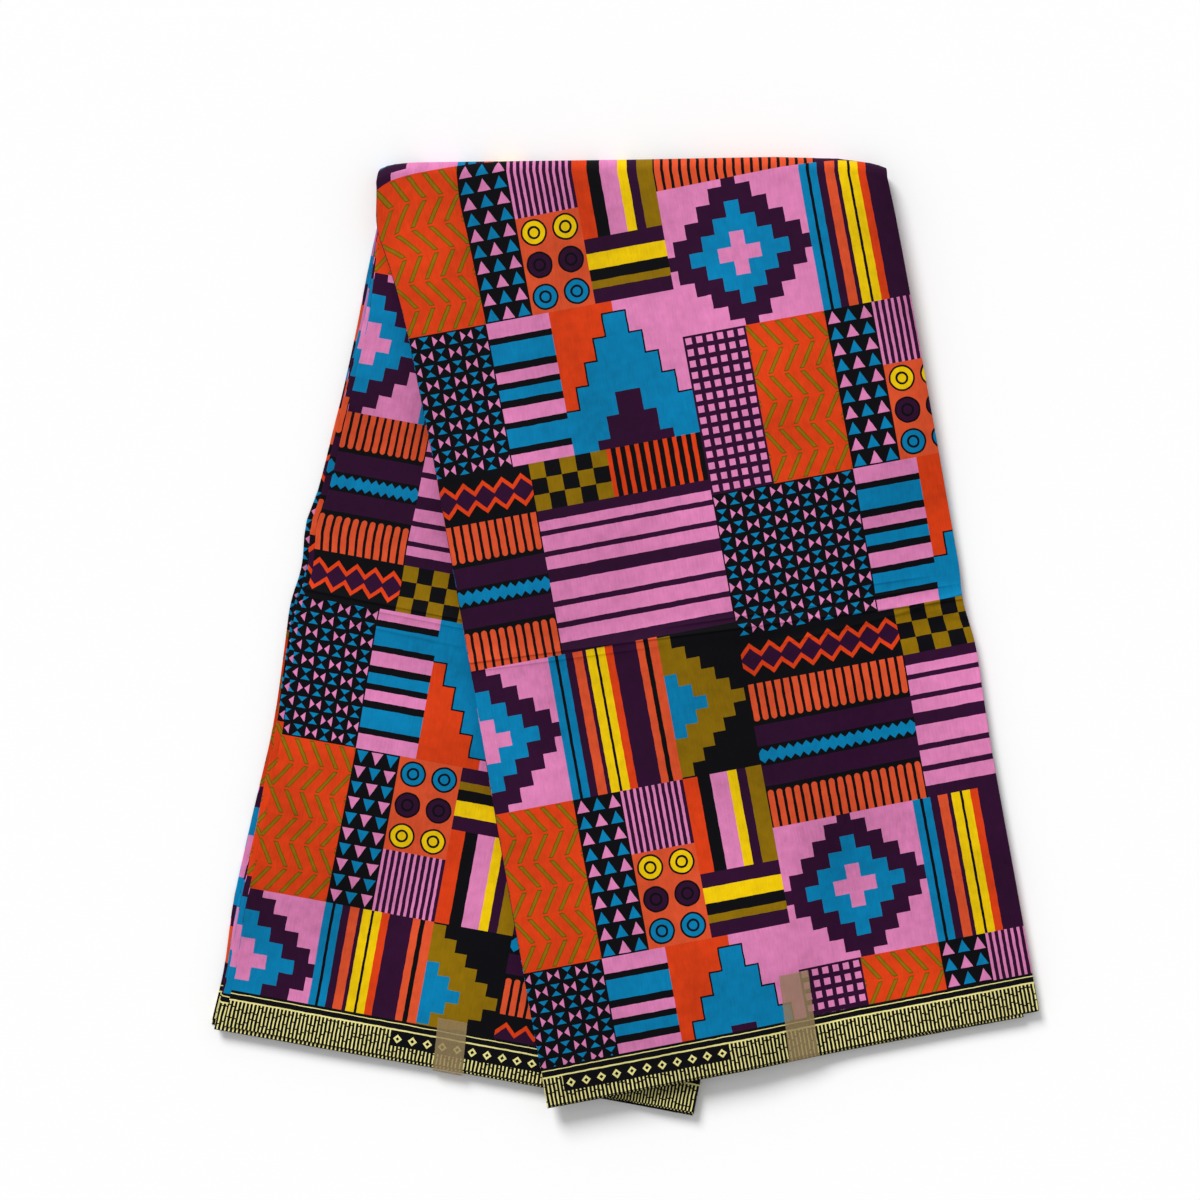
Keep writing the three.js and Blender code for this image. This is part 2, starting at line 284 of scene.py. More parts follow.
def bend(across, up, radius):
    """Points of the bent leaf, in metres: across it, and up from the middle of the fold line, on the face
    with that bend radius. The back leg's places are below 0. A radius below 0 lies over the back leg's
    top."""
    arc = np.maximum(radius, BEND_LOW / 2)
    from_fold = up * COS - across * SIN
    turn = np.clip(-from_fold / arc, 0, math.pi)
    side = np.where(turn < math.pi / 2, 1, -1)
    down = np.maximum(np.where(side > 0, up, -up - arc * math.pi / COS), 0)
    x = across * COS + up * SIN + arc * turn * TAN
    y = np.where(turn < math.pi, arc * np.sin(turn) - np.maximum(from_fold, 0), from_fold + math.pi * arc)
    free = np.where(side > 0, radius, (BEND_HIGH - radius) * (1 - covered(x, y))) / BEND_HIGH
    shows = (radius > BEND_HIGH - PITCH) | (radius < BEND_LOW + PITCH)
    lift = shows * ridges(SHARP_CREASES, 1, across, side, down) + ridges(ROLLS, 2, across, side, down)
    lift = free * (lift + smooth(np.abs(y) / WAVES_FADE) * waves(across, down))
    z = MIDDLE_HEIGHT + radius * np.cos(turn) + lift - np.where(side > 0, sink(x, y), 0)
    crest = read(CREST, "across", "rise", across, 3) * (1 - smooth(down / CREST_FADE))
    return np.stack([x + FOLD_X, y + crest + FOLD_Y, np.maximum(z, 0)], axis=-1) * MM


def place(across, level, left, right, along):
    """Points of the cloth, in metres. level counts leaves down from the outside of the bend, left and right
    are the pleats that its edges follow, and along runs from the front selvedge, over the fold, to the back
    one."""
    radius = BEND_HIGH - PITCH * level
    share = across / LEAF_WIDTH + 0.5
    front_end = FRONT_LENGTH + pleat("front", left) * (1 - share) + pleat("front", right) * share
    back_end = BACK_LENGTH + pleat("back", left) * (1 - share) + pleat("back", right) * share
    whole = front_end + back_end + math.pi * radius / COS
    up = front_end - along * whole / CLOTH_WIDTH
    across = across + edge_shift(across, up, radius, left, right)
    return bend(across, up + FRONT_SLANT * TAN * across * np.clip(up / FRONT_LENGTH, 0, 1), radius)


# ---- The print's layout ----

REPEAT_ACROSS, REPEAT_UP, DROP = 21, 40, 13
MODULE = 2 * LEAF_WIDTH / 3 / REPEAT_ACROSS  # three repeats take up two leaves
SELVEDGE = 24

# The blocks of one repeat, in modules. Each repeat stands a drop lower than the one at its left.
BLOCKS = [
    {"kind": "hourglasses", "x": 0, "y": 0, "wide": 9, "high": 9},
    {"kind": "rungs", "x": 9, "y": 0, "wide": 4, "high": 9},
    {"kind": "ziggurat", "x": 13, "y": 0, "wide": 8, "high": 9},
    {"kind": "lattice", "x": 0, "y": 9, "wide": 4, "high": 10},
    {"kind": "herringbone", "x": 4, "y": 9, "wide": 5, "high": 10},
    {"kind": "darts", "x": 9, "y": 9, "wide": 3, "high": 10},
    {"kind": "dots", "x": 12, "y": 9, "wide": 4, "high": 6},
    {"kind": "pinstripes", "x": 12, "y": 15, "wide": 4, "high": 4},
    {"kind": "bars", "x": 16, "y": 9, "wide": 5, "high": 4},
    {"kind": "ribbons", "x": 16, "y": 13, "wide": 5, "high": 6},
    {"kind": "diamond", "x": 0, "y": 19, "wide": 9, "high": 9},
    {"kind": "stripes", "x": 9, "y": 19, "wide": 7, "high": 9},
    {"kind": "stairs", "x": 16, "y": 19, "wide": 5, "high": 9},
    {"kind": "comb", "x": 0, "y": 28, "wide": 10, "high": 9},
    {"kind": "lozenges", "x": 0, "y": 37, "wide": 10, "high": 3},
    {"kind": "beams", "x": 10, "y": 28, "wide": 11, "high": 9},
    {"kind": "checks", "x": 10, "y": 37, "wide": 5, "high": 3},
    {"kind": "teeth", "x": 15, "y": 37, "wide": 6, "high": 3},
]
PRINT_FROM = {"across": 4, "up": 3}  # modules of the repeat at the cloth's corner
PRINT_SIZES = {block["kind"]: (block["wide"], block["high"]) for block in BLOCKS}
PRINT_SIZES["selvedge"] = (LEAVES * LEAF_WIDTH / MODULE, SELVEDGE / MODULE)


def block_at(across, up):
    """The kind of block at a place of the cloth, in modules, and the block's own corner."""
    repeat = math.floor(across / REPEAT_ACROSS)
    base = math.floor((up + DROP * repeat) / REPEAT_UP) * REPEAT_UP - DROP * repeat
    x, y = across - repeat * REPEAT_ACROSS, up - base
    for block in BLOCKS:
        if 0 <= x - block["x"] < block["wide"] and 0 <= y - block["y"] < block["high"]:
            return block["kind"], repeat * REPEAT_ACROSS + block["x"], base + block["y"]
    raise ValueError(f"no block at {x}, {y}")


def print_at(run, along):
    """The block at a place of the whole cloth, run from its cut end and along its width: its kind, its corner
    and whether along grows upwards in it, 1, or downwards, -1."""
    if along < SELVEDGE:
        return "selvedge", 0, 0, 1
    if along > CLOTH_WIDTH - SELVEDGE:
        return "selvedge", 0, CLOTH_WIDTH, -1
    kind, x, y = block_at(run / MODULE + PRINT_FROM["across"], (along - SELVEDGE) / MODULE + PRINT_FROM["up"])
    return kind, (x - PRINT_FROM["across"]) * MODULE, (y - PRINT_FROM["up"]) * MODULE + SELVEDGE, 1


def no_print(run, along):
    return "tape_film", 0, 0, 1


# ---- Paint ----

PRINT_WANDER = 0.08  # modules
PALETTE = {
    "pink": (210, 122, 172),
    "blue": (2, 119, 167),
    "orange": (208, 59, 17),
    "coral": (209, 77, 41),
    "plum": (44, 10, 43),
    "black": (8, 8, 13),
    "olive": (133, 101, 3),
    "moss": (96, 74, 10),
    "yellow": (228, 190, 3),
    "straw": (226, 218, 140),
}


def colour(name):
    straight = [(c / 255 / 12.92 if c <= 10 else ((c / 255 + 0.055) / 1.055) ** 2.4) for c in PALETTE[name]]
    return (*straight, 1)


class Field:
    """A number that varies over the cloth, worked out by Math nodes."""

    def __init__(self, tree, socket):
        self.tree, self.socket = tree, socket

    def math(self, operation, other=None):
        node = self.tree.nodes.new("ShaderNodeMath")
        node.operation = operation
        self.tree.links.new(self.socket, node.inputs[0])
        if isinstance(other, Field):
            self.tree.links.new(other.socket, node.inputs[1])
        elif other is not None:
            node.inputs[1].default_value = other
        return Field(self.tree, node.outputs[0])

    def __add__(self, other):
        return self.math("ADD", other)

    def __sub__(self, other):
        return self.math("SUBTRACT", other)

    def __mul__(self, other):
        return self.math("MULTIPLY", other)

    def __truediv__(self, other):
        return self.math("DIVIDE", other)

    def __lt__(self, other):
        return self.math("LESS_THAN", other)

    def __gt__(self, other):
        return self.math("GREATER_THAN", other)

    def __mod__(self, other):
        return self.math("FLOORED_MODULO", other)

    def __and__(self, other):
        return self.math("MINIMUM", other)

    def __or__(self, other):
        return self.math("MAXIMUM", other)

    def floor(self):
        return self.math("FLOOR")

    def abs(self):
        return self.math("ABSOLUTE")

    def root(self):
        return self.math("SQRT")

    def hashed(self):
        """A number from 0 to 1 that looks random, the same for equal values."""
        return (self * 12.9898).math("SINE").abs() * 437.585 % 1


class Painter:
    """Lays flat colours over each other where masks are 1. x and y are the place on the block, in modules."""

    def __init__(self, tree, size):
        self.tree = tree
        self.paint = None
        split = tree.nodes.new("ShaderNodeSeparateXYZ")
        tree.links.new(self.wandering_place(), split.inputs[0])
        rim = 0.001
        self.x, self.y = ((Field(tree, split.outputs[i]) | rim) & (size[i] - rim) for i in (0, 1))

    def wandering_place(self):
        """The block's UV map, moved a little, as the edges of a print wander."""
        uv = self.tree.nodes.new("ShaderNodeUVMap")
        uv.uv_map = "block"
        noise = self.tree.nodes.new("ShaderNodeTexNoise")
        noise.inputs["Scale"].default_value = 1.6
        noise.inputs["Detail"].default_value = 3
        self.tree.links.new(uv.outputs[0], noise.inputs["Vector"])
        centred = self.tree.nodes.new("ShaderNodeVectorMath")
        centred.operation = "SUBTRACT"
        centred.inputs[1].default_value = (0.5, 0.5, 0.5)
        self.tree.links.new(noise.outputs["Color"], centred.inputs[0])
        moved = self.tree.nodes.new("ShaderNodeVectorMath")
        moved.operation = "MULTIPLY_ADD"
        moved.inputs[1].default_value = (PRINT_WANDER, PRINT_WANDER, 0)
        self.tree.links.new(centred.outputs[0], moved.inputs[0])
        self.tree.links.new(uv.outputs[0], moved.inputs[2])
        return moved.outputs[0]

    def lay(self, mask, name):
        node = self.tree.nodes.new("ShaderNodeMix")
        node.data_type = "RGBA"
        self.tree.links.new(mask.socket, node.inputs[0])
        if isinstance(self.paint, str):
            node.inputs[6].default_value = colour(self.paint)
        else:
            self.tree.links.new(self.paint, node.inputs[6])
        node.inputs[7].default_value = colour(name)
        self.paint = node.outputs[2]

    def bands(self, at, rows):
        """Bands from rows of a colour and a width."""
        total = sum(width for _, width in rows)
        ramp = self.tree.nodes.new("ShaderNodeValToRGB")
        ramp.color_ramp.interpolation = "CONSTANT"
        elements = ramp.color_ramp.elements
        elements.remove(elements[1])
        start = 0
        for i, (name, width) in enumerate(rows):
            element = elements[0] if i == 0 else elements.new(start / total)
            element.position = start / total
            element.color = colour(name)
            start += width
        self.tree.links.new((at / total).socket, ramp.inputs[0])
        self.paint = ramp.outputs[0]


# ---- The motifs, each in its own block's modules ----


def hourglasses(p):
    cell = 9 / 10
    x, y = (p.x / cell) % 1 - 0.5, (p.y / cell) % 1 - 0.5
    turned = ((p.x / cell).floor() + (p.y / cell).floor()) % 2
    p.paint = "black"
    p.lay((turned < 0.5) & (y.abs() - x.abs() > 0.06) & (y.abs() < 0.4), "blue")
    p.lay((turned > 0.5) & (x.abs() - y.abs() > 0.06) & (x.abs() < 0.4), "pink")


def rungs(p):
    p.bands(p.y, [
        ("pink", 0.7), ("black", 0.4), ("blue", 1.2), ("black", 0.4), ("pink", 0.9), ("black", 0.45),
        ("blue", 0.7), ("black", 0.4), ("pink", 0.7), ("black", 0.45), ("blue", 1.3), ("black", 0.4),
        ("pink", 1),
    ])


def ziggurat(p):
    middle, wide, high, line = 4, 0.8, 1.4, 0.1
    aside = (p.x - middle).abs()
    step, outer_step = (aside / wide).floor(), ((aside + line) / wide).floor() & 4
    p.paint = "orange"
    p.lay(p.x > middle, "pink")
    p.lay(p.y + step * high < 8.35, "black")
    p.lay(p.y + outer_step * high < 8.25, "blue")
    p.lay(p.y + step * high < 3.4, "plum")


def lattice(p):
    wide, high = 0.6667, 0.7143
    from_edge, to_edge = 0.22, 0.8
    x, y = (p.x / wide) % 1, (p.y / high) % 1
    p.paint = "plum"
    p.lay((x > from_edge) & (x < to_edge) & (y > from_edge) & (y < to_edge), "pink")


def herringbone(p):
    high = 10 / 6
    up = (p.y / high % 1 - 0.5) * high
    lean = (p.y / high).floor() % 2 * 1.3 - 0.65
    off = ((p.x + up * lean) % 1 - 0.5).abs()
    p.paint = "orange"
    p.lay((off < 0.155) & (up.abs() < 0.76), "moss")
    p.lay((off < 0.1) & (up.abs() < 0.7), "olive")


def darts(p):
    x, y = p.x % 1 - 0.5, p.y % 1 - 0.5
    turned = (p.x.floor() + p.y.floor()) % 2
    dart = (x.abs() * 2 + y < 0.38) & (y > -0.4)
    p.paint = "black"
    p.lay(dart & (turned < 0.5), "blue")
    p.lay(dart & (turned > 0.5), "pink")


def dots(p):
    cell, radius, rim = 2, 0.7, 0.12
    x, y = p.x % cell - 1, p.y % cell - 1
    away = (x * x + y * y).root()
    inside = away < radius
    p.paint = "coral"
    p.lay(away < radius + rim, "black")
    p.lay(inside & (p.y > 2 * cell), "yellow")
    p.lay(inside & (p.y > cell) & (p.y < 2 * cell), "plum")
    p.lay(inside & (p.y < cell), "blue")
    p.lay((away > 0.27) & (away < 0.41), "black")


def pinstripes(p):
    p.paint = "pink"
    p.lay((p.x / 0.4) % 1 > 0.45, "plum")


def bars(p):
    p.bands(p.y, [("plum", 0.9), ("olive", 0.5), ("black", 0.7), ("yellow", 1), ("plum", 0.9)])


def ribbons(p):
    p.bands(p.x, [
        ("orange", 0.9), ("black", 0.8), ("pink", 1.1), ("yellow", 0.6), ("plum", 0.6), ("olive", 1),
    ])


def diamond(p):
    middle, step = 4.5, 0.9
    steps = ((p.x - middle).abs() / step + 0.5).floor() + ((p.y - middle).abs() / step + 0.5).floor()
    p.paint = "pink"
    p.lay(steps < 5.5, "plum")
    p.lay(steps < 3.5, "blue")
    p.lay(steps < 1.5, "pink")


def stripes(p):
    p.bands(p.x, [
        ("blue", 0.45), ("black", 0.2), ("blue", 0.45), ("plum", 0.5), ("coral", 0.6), ("plum", 0.25),
        ("yellow", 0.55), ("black", 0.15), ("yellow", 0.5), ("orange", 0.5), ("plum", 1.5), ("coral", 0.45),
        ("black", 0.3), ("coral", 0.6),
    ])


def stairs(p):
    middle, step = 4.5, 0.8
    steps = (p.x / step).floor() + ((p.y - middle).abs() / step + 0.5).floor()
    p.paint = "blue"
    p.lay(steps > 2.5, "olive")
    p.lay(steps > 5.5, "black")


def comb(p):
    every, middle, half_wide, tip_at = 0.5556, 4.5, 0.185, 2.35
    x = ((p.x / every) % 1 - 0.5) * every
    reach = (p.y - middle).abs()
    tip = (x * x + (reach - tip_at) * (reach - tip_at)).root()
    p.paint = "black"
    p.lay((x.abs() < half_wide) & (reach > tip_at) | (tip < half_wide), "coral")
    p.lay(reach < 1.9, "plum")
    p.lay(reach < 0.62, "black")
    p.lay(x.abs() + reach < 0.48, "blue")


def lozenges(p):
    every, middle = 1.25, 1.5
    away = ((p.x / every) % 1 - 0.5).abs() * every + (p.y - middle).abs()
    p.paint = "black"
    p.lay(away < 1.05, "orange")
    p.lay(away < 0.72, "plum")


def beams(p):
    p.bands(p.y, [
        ("plum", 0.7), ("pink", 0.9), ("plum", 0.35), ("pink", 1), ("plum", 0.35), ("pink", 1.2),
        ("plum", 0.8), ("pink", 0.8), ("plum", 0.3), ("pink", 1), ("plum", 0.3), ("pink", 0.6),
        ("plum", 0.7),
    ])


def checks(p):
    p.paint = "olive"
    p.lay((p.x.floor() + p.y.floor()) % 2 > 0.5, "black")


def teeth(p):
    p.paint = "orange"
    p.lay((p.x / 0.6) % 1 > 0.46, "black")


# The selvedge's border, in millimetres from its edge
DASH_EVERY, DASH_SHARE, DASH_LOW, DASH_HIGH = 2.5, 0.37, 0.4, 17.4
BREAK_HALF, BREAK_SPREAD, BREAK_LOW, BREAK_HIGH = 0.4, 6, 3, 10.5
PANEL_EVERY, PANEL_FROM, PANEL_WIDTH, PANEL_LOW = 649.75, 13, 106.7, 7.3
LOZENGE_EVERY, LOZENGE_MIDDLE, LOZENGE_REACH, LOZENGE_HOLE = 9.7, 12.2, 2.9, 1.3
BORDER_LINES = [(17.4, 18.4), (21.7, 22.3)]


def selvedge(p):
    """The printed border: dashes that breaks link into chains, a panel of lozenges at times, and lines."""
    x, y = p.x * MODULE, p.y * MODULE
    dash = (x / DASH_EVERY).floor()
    low_break = (dash.hashed() * BREAK_SPREAD + BREAK_LOW - y).abs() < BREAK_HALF
    high_break = ((dash + 7).hashed() * BREAK_SPREAD + BREAK_HIGH - y).abs() < BREAK_HALF
    from_panel = x % PANEL_EVERY - PANEL_FROM
    in_panel = (from_panel > 0) & (from_panel < PANEL_WIDTH) & (y > PANEL_LOW)
    lozenge = (from_panel / LOZENGE_EVERY % 1 - 0.5).abs() * LOZENGE_EVERY + (y - LOZENGE_MIDDLE).abs()
    p.paint = "black"
    p.lay(((x / DASH_EVERY) % 1 < DASH_SHARE) & (y < DASH_HIGH) & (y > DASH_LOW), "straw")
    p.lay(low_break | high_break | in_panel, "black")
    p.lay((lozenge < LOZENGE_REACH) & in_panel, "straw")
    p.lay((lozenge < LOZENGE_HOLE) & in_panel, "black")
    for low, high in BORDER_LINES:
        p.lay((y > low) & (y < high), "straw")


PRINTS = [
    hourglasses, rungs, ziggurat, lattice, herringbone, darts, dots, pinstripes, bars, ribbons, diamond,
    stripes, stairs, comb, lozenges, beams, checks, teeth, selvedge,
]


# ---- Materials ----

THREAD = 0.00042  # metres from thread to thread


def finish_group():
    """Cotton: what is done to every printed colour, and the weave."""
    group = bpy.data.node_groups.new("cotton", "ShaderNodeTree")
    face = group.interface
    face.new_socket("Color", in_out="INPUT", socket_type="NodeSocketColor")
    face.new_socket("Color", in_out="OUTPUT", socket_type="NodeSocketColor")
    face.new_socket("Roughness", in_out="OUTPUT", socket_type="NodeSocketFloat")
    face.new_socket("Normal", in_out="OUTPUT", socket_type="NodeSocketVector")
    new, link = group.nodes.new, group.links.new
    start, end = new("NodeGroupInput"), new("NodeGroupOutput")
    uv = new("ShaderNodeUVMap")
    uv.uv_map = "fabric"

    def noise(scale, detail, stretch=(1, 1, 1)):
        mapping = new("ShaderNodeMapping")
        mapping.inputs["Scale"].default_value = stretch
        node = new("ShaderNodeTexNoise")
        node.inputs["Scale"].default_value = scale
        node.inputs["Detail"].default_value = detail
        link(uv.outputs[0], mapping.inputs["Vector"])
        link(mapping.outputs[0], node.inputs["Vector"])
        return Field(group, node.outputs["Fac"])

    split = new("ShaderNodeSeparateXYZ")
    link(uv.outputs[0], split.inputs[0])
    warp, weft = ((Field(group, split.outputs[i]) * (2 * math.pi / THREAD)).math("SINE") for i in (0, 1))
    weave = warp * weft

    mottling = noise(26, 5) + noise(150, 4)
    slubs = noise(90, 3, (12, 1, 1))
    # Broad clouds over every colour: partly uneven dye, partly painted light and shade of the cloth's soft
    # rolls
    dye_and_roll_shade = noise(7, 2)
    value = (dye_and_roll_shade - 0.5) * 0.9 + mottling * 0.42 + slubs * 0.34 + weave * 0.04 + 0.41
    tint = new("ShaderNodeHueSaturation")
    link(start.outputs["Color"], tint.inputs["Color"])
    link(value.socket, tint.inputs["Value"])
    link(tint.outputs[0], end.inputs["Color"])
    link((mottling * 0.08 + 0.56).socket, end.inputs["Roughness"])
    bump = new("ShaderNodeBump")
    bump.inputs["Strength"].default_value = 0.35
    bump.inputs["Distance"].default_value = 0.00012
    link((weave * 0.5 + slubs * 0.6 + noise(500, 3)).socket, bump.inputs["Height"])
    link(bump.outputs[0], end.inputs["Normal"])
    return group


COTTON = finish_group()


def print_material(motif):
    material = bpy.data.materials.new(motif.__name__)
    material.use_nodes = True
    tree = material.node_tree
    painter = Painter(tree, PRINT_SIZES[motif.__name__])
    motif(painter)
    cotton = tree.nodes.new("ShaderNodeGroup")
    cotton.node_tree = COTTON
    shader = tree.nodes["Principled BSDF"]
    tree.links.new(painter.paint, cotton.inputs["Color"])
    tree.links.new(cotton.outputs["Color"], shader.inputs["Base Color"])
    tree.links.new(cotton.outputs["Roughness"], shader.inputs["Roughness"])
    tree.links.new(cotton.outputs["Normal"], shader.inputs["Normal"])
    shader.inputs["Sheen Weight"].default_value = 0.015
    shader.inputs["Sheen Roughness"].default_value = 0.3
    shader.inputs["Specular IOR Level"].default_value = 0.06
    return material


PRINT_MATERIALS = [print_material(motif) for motif in PRINTS]


# ---- Meshes ----


SELVEDGE_ROWS = np.array([0, 0.3, 3, 8, 13, 18])
LEAST_GAP = 0.1

# Stretches of a leaf where its rows come closer together
BEND_STRETCH = {"middle": FRONT_LENGTH + math.pi * (BEND_LOW + BEND_HIGH) / 2, "reach": 50}
ROLL_STRETCHES = [
    {"middle": FRONT_LENGTH - 302, "reach": 24},
    {"middle": CLOTH_WIDTH - BACK_LENGTH + 306, "reach": 24},
]
CREASE_STRETCHES = [
    {"middle": FRONT_LENGTH - 298, "reach": 11},
    {"middle": CLOTH_WIDTH - BACK_LENGTH + 303, "reach": 6},
]


def rows_in(stretches, step):
    return [part["middle"] + np.arange(-part["reach"], part["reach"], step) for part in stretches]


def along_lines(step, bend_step, roll_step, crease_step):
    """Rows along a leaf, in steps that fit the print, and closer together round the bend and at creases."""
    print_rows = np.arange(SELVEDGE, CLOTH_WIDTH - SELVEDGE, step)
    far_rows = CLOTH_WIDTH - np.concatenate([[SELVEDGE], SELVEDGE_ROWS])
    fixed = np.concatenate([SELVEDGE_ROWS, print_rows, far_rows])
    bend_rows, roll_rows = rows_in([BEND_STRETCH], bend_step), rows_in(ROLL_STRETCHES, roll_step)
    extra = np.concatenate([*bend_rows, *roll_rows, *rows_in(CREASE_STRETCHES, crease_step)])
    apart = [row for row in extra if np.min(np.abs(fixed - row)) > LEAST_GAP]
    rows = sorted({*fixed.tolist(), *apart})
    kept = [row for i, row in enumerate(rows) if row in fixed or i == 0 or row - rows[i - 1] > LEAST_GAP]
    return np.array(kept)


class Cloth:
    """Collects strips of cloth into one mesh."""

    def __init__(self, materials, look):
        self.materials, self.look = materials, look
        self.names = [material.name for material in materials]
        self.points, self.faces, self.slots, self.fabric, self.block = [], [], [], [], []

    def strip(self, run, along, points, out):
        """Adds a grid. points[i, j] is at along[i] and at run[j] from the cloth's raw end. With out at 1 its
        faces point the way of the printed face, and with -1 the other way."""
        first = len(self.points)
        self.points.extend(points.reshape(-1, 3).tolist())
        columns = len(run)
        for i in range(len(along) - 1):
            for j in range(columns - 1):
                corners = [(j, i), (j + 1, i), (j + 1, i + 1), (j, i + 1)][::out]
                kind, x, y, way = self.look((run[j] + run[j + 1]) / 2, (along[i] + along[i + 1]) / 2)
                self.faces.append([first + r * columns + c for c, r in corners])
                self.slots.append(self.names.index(kind))
                self.fabric.extend((run[c] * MM, along[r] * MM) for c, r in corners)
                self.block.extend(((run[c] - x) / MODULE, way * (along[r] - y) / MODULE) for c, r in corners)

    def rims(self, run, along, top, bottom, out):
        """The cloth's thickness at its selvedges, between two grids. With out at 1 the top one is the printed
        face."""
        self.strip(run, along[[0, 0]], np.stack([top[0], bottom[0]]), -out)
        self.strip(run, along[[-1, -1]], np.stack([top[-1], bottom[-1]]), out)

    def cut(self, run, along, top, bottom, out):
        """The thickness at a cut edge, between two columns of points."""
        self.strip([run, run], along, np.stack([top, bottom], axis=1), out)

    def make(self, name):
        mesh = bpy.data.meshes.new(name)
        mesh.from_pydata(self.points, [], self.faces)
        for material in self.materials:
            mesh.materials.append(material)
        mesh.polygons.foreach_set("material_index", self.slots)
        mesh.polygons.foreach_set("use_smooth", [True] * len(self.faces))
        for map_name, places in (("fabric", self.fabric), ("block", self.block)):
            mesh.uv_layers.new(name=map_name).data.foreach_set("uv", np.ravel(places))
        weld = bmesh.new()
        weld.from_mesh(mesh)
        bmesh.ops.remove_doubles(weld, verts=weld.verts, dist=1e-7)
        weld.to_mesh(mesh)
        weld.free()
        mesh.set_sharp_from_angle(angle=math.radians(60))
        piece = bpy.data.objects.new(name, mesh)
        bpy.context.scene.collection.objects.link(piece)
        return piece


# ---- The cloth's profile, across the stack ----

NOSE = 0.5 * PITCH + 0.5 * CLOTH_THICKNESS  # radius of the outside of a pleat
NOSE_RUN = 0.6  # cloth that goes round half a pleat
NOSE_STEPS = 4
BESIDE_NOSE = (0, 0.5, 1.5)  # columns beside a pleat
COLUMN_GAP = 0.3
HALF_THICK = CLOTH_THICKNESS / 2 / PITCH


def leaf_columns(leaf, step):
    """Runs of cloth across a leaf, in steps that fit the print, and closer together beside the pleats."""
    start, end = leaf * LEAF_WIDTH + NOSE_RUN, (leaf + 1) * LEAF_WIDTH - NOSE_RUN
    grid = [n * step for n in range(math.ceil(start / step), math.floor(end / step) + 1)]
    beside = [start + off for off in BESIDE_NOSE] + [end - off for off in BESIDE_NOSE]
    apart = [run for run in grid if all(abs(run - other) > COLUMN_GAP for other in beside)]
    return sorted(apart + beside)


def leaf_profile(leaf, face, step):
    """One face of a leaf, as places in the stack. face is 1 for the printed face and -1 for the other."""
    forwards = leaf % 2 == 0
    outwards = face if forwards else -face
    places = []
    for run in leaf_columns(leaf, step):
        off = run - leaf * LEAF_WIDTH
        share = (off - NOSE_RUN) / (LEAF_WIDTH - 2 * NOSE_RUN)
        reach = (HALF - NOSE) * (2 * share - 1)
        places.append({
            "run": run,
            "across": reach if forwards else -reach,
            "level": leaf + 0.5 - outwards * HALF_THICK,
            "left": leaf if forwards else leaf + 1,
            "right": leaf + 1 if forwards else leaf,
        })
    return places


def nose_profile(fold, face, first, last):
    """The bend round a pleat, from step first to step last of 2 * NOSE_STEPS."""
    right = fold % 2 == 1
    outside = face if right else -face
    radius = 0.5 + outside * HALF_THICK
    places = []
    for step in range(first, last + 1):
        angle = math.pi * step / (2 * NOSE_STEPS)
        reach = HALF - NOSE + radius * PITCH * math.sin(angle)
        beyond = fold + 1 if step > NOSE_STEPS else fold - 1
        places.append({
            "run": fold * LEAF_WIDTH + NOSE_RUN * (step / NOSE_STEPS - 1),
            "across": reach if right else -reach,
            "level": fold - radius * math.cos(angle),
            "left": beyond if right else fold,
            "right": fold if right else beyond,
        })
    return places


def stretch(first, last, face, step):
    """A face of the cloth from leaf first to leaf last, with half a bend at each end that joins a leaf."""
    places = []
    if first > 0:
        places += nose_profile(first, face, NOSE_STEPS, 2 * NOSE_STEPS - 1)
    for leaf in range(first, last + 1):
        places += leaf_profile(leaf, face, step)
        if leaf < last:
            places += nose_profile(leaf + 1, face, 1, 2 * NOSE_STEPS - 1)
    if last < LEAVES - 1:
        places += nose_profile(last + 1, face, 1, NOSE_STEPS)
    return places


def lay_out(places, along):
    """Points for each row of along and each place of a profile."""
    keys = ("across", "level", "left", "right")
    columns = {key: np.array([spot[key] for spot in places], float)[None, :] for key in keys}
    return place(along=np.asarray(along, float)[:, None], **columns)


def make_sheet(name, first, last, faces, steps):
    """Leaves first to last as one piece: with both faces, or with the one that shows and its edges."""
    cloth = Cloth(PRINT_MATERIALS, print_at)
    along = along_lines(steps["row"], steps["bend"], steps["roll"], steps["crease"])
    profiles = {face: stretch(first, last, face, steps["column"]) for face in (1, -1)}
    grids = {face: lay_out(profiles[face], along) for face in (1, -1)}
    run = [spot["run"] for spot in profiles[1]]
    for face in faces:
        cloth.strip(run, along, grids[face], face)
    out = faces[0]
    top, bottom = grids[out], grids[-out]
    cloth.rims(run, along, top, bottom, out)
    if first == 0 or len(faces) == 2:
        cloth.cut(run[0], along, top[:, 0], bottom[:, 0], -out)
    if last == LEAVES - 1 or len(faces) == 2:
        cloth.cut(run[-1], along, top[:, -1], bottom[:, -1], out)
    piece = cloth.make(name)
    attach(piece, "root")
    return piece


LEAVES_IN_HIDDEN = 3

# The sizes of a mesh's faces: fine for the leaves that show, middling beside them and coarse between
FINE = {"column": MODULE / 2, "row": MODULE / 4, "bend": 1.3, "roll": 0.7, "crease": 0.25}
MIDDLING = {"column": MODULE / 2, "row": MODULE, "bend": 2.6, "roll": 2, "crease": 5}
COARSE = {"column": MODULE, "row": MODULE, "bend": 2.6, "roll": 4, "crease": 5}


def make_cloth():
    front = make_sheet("front_sheet", 0, 0, (1,), FINE)
    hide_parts("outer_leaf")
    back = make_sheet("back_sheet", LEAVES - 1, LEAVES - 1, (-1,), FINE)
    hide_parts("inner_leaf")
    hidden = []
    for first in range(1, LEAVES - 1, LEAVES_IN_HIDDEN):
        name = f"hidden_sheets_{len(hidden) + 1}"
        last = first + LEAVES_IN_HIDDEN - 1
        beside_shown = first == 1 or last == LEAVES - 2
        piece = make_sheet(name, first, last, (1, -1), MIDDLING if beside_shown else COARSE)
        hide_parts("hidden_leaves")
        hidden.append(piece)


make_cloth()

